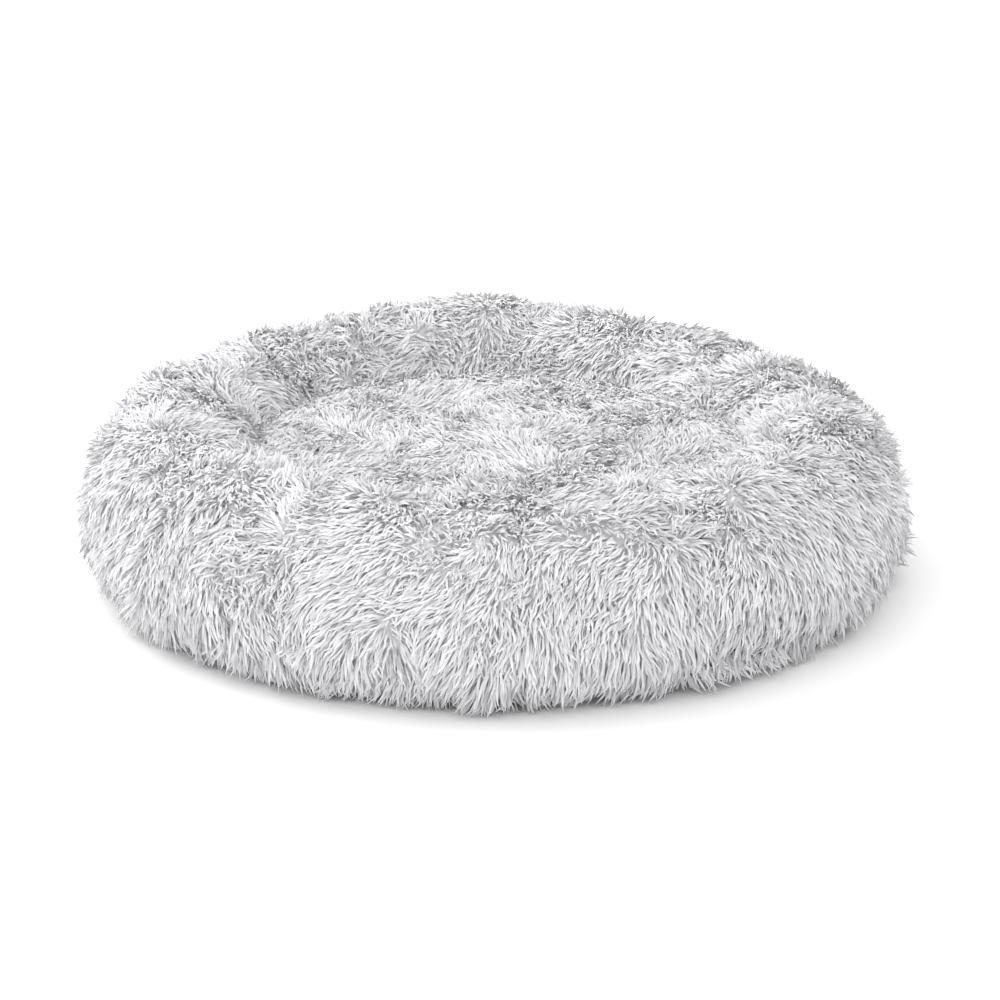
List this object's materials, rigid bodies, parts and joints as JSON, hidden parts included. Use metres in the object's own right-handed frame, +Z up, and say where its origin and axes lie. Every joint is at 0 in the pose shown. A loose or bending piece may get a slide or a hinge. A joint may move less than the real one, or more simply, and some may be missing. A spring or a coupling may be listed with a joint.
{
  "type": "pet cushion bed",
  "caption": "Round plush pet bed: a raised, fibre-filled ring of long-pile plush round a domed centre cushion, with a zipped, washable cover.",
  "frame": {"origin": "on the floor under the middle of the bed", "axes": "+Z up out of the floor, -Y towards the front, the zip round the back (+Y)"},
  "size_m": [1.14, 1.14, 0.262],
  "materials": {
    "plush": "matte",
    "tape": "matte",
    "base_cloth": "matte",
    "liner": "matte",
    "fibre": "matte",
    "zip_tape": "matte",
    "zip_teeth": "satin",
    "zip_metal": "satin",
    "label": "matte"
  },
  "bodies": {
    "bed": {"rim_panel_1": "plush", "rim_panel_2": "plush", "rim_panel_3": "plush", "rim_panel_4": "plush", "rim_panel_5": "plush", "rim_panel_6": "plush", "rim_panel_7": "plush", "rim_panel_8": "plush", "rim_panel_9": "plush", "rim_panel_10": "plush", "rim_panel_11": "plush", "rim_panel_12": "plush", "rim_seam_tape_1": "tape", "rim_seam_tape_2": "tape", "rim_seam_tape_3": "tape", "rim_seam_tape_4": "tape", "rim_seam_tape_5": "tape", "rim_seam_tape_6": "tape", "rim_seam_tape_7": "tape", "rim_seam_tape_8": "tape", "rim_seam_tape_9": "tape", "rim_seam_tape_10": "tape", "rim_seam_tape_11": "tape", "rim_seam_tape_12": "tape", "centre_panel": "plush", "inner_wall": "base_cloth", "inner_seam_tape": "tape", "base_panel": "base_cloth", "rim_liner": "liner", "rim_liner_stitch": "tape", "rim_fill": "fibre", "centre_liner": "liner", "centre_liner_stitch": "tape", "centre_fill": "fibre", "zip_tape_base": "zip_tape", "zip_tape_rim": "zip_tape", "zip_teeth_base": "zip_teeth", "zip_teeth_rim": "zip_teeth", "zip_stop_start": "zip_metal", "zip_stop_end": "zip_metal", "care_label": "label"},
    "slider": {"zip_slider": "zip_metal"},
    "pull": {"zip_pull": "zip_metal"}
  },
  "joints": [
    {"name": "zip_run", "type": "hinge", "parent": "bed", "child": "slider", "pos_m": [0, 0, 0.019], "axis": [0, 0, 1], "range_deg": [-126.8, 0]},
    {"name": "pull_swing", "type": "hinge", "parent": "slider", "child": "pull", "pos_m": [-0.45532, 0.22801, 0.01595], "axis": [-0.7335, 0.3673, 0.5719], "range_deg": [-80, 80]}
  ]
}
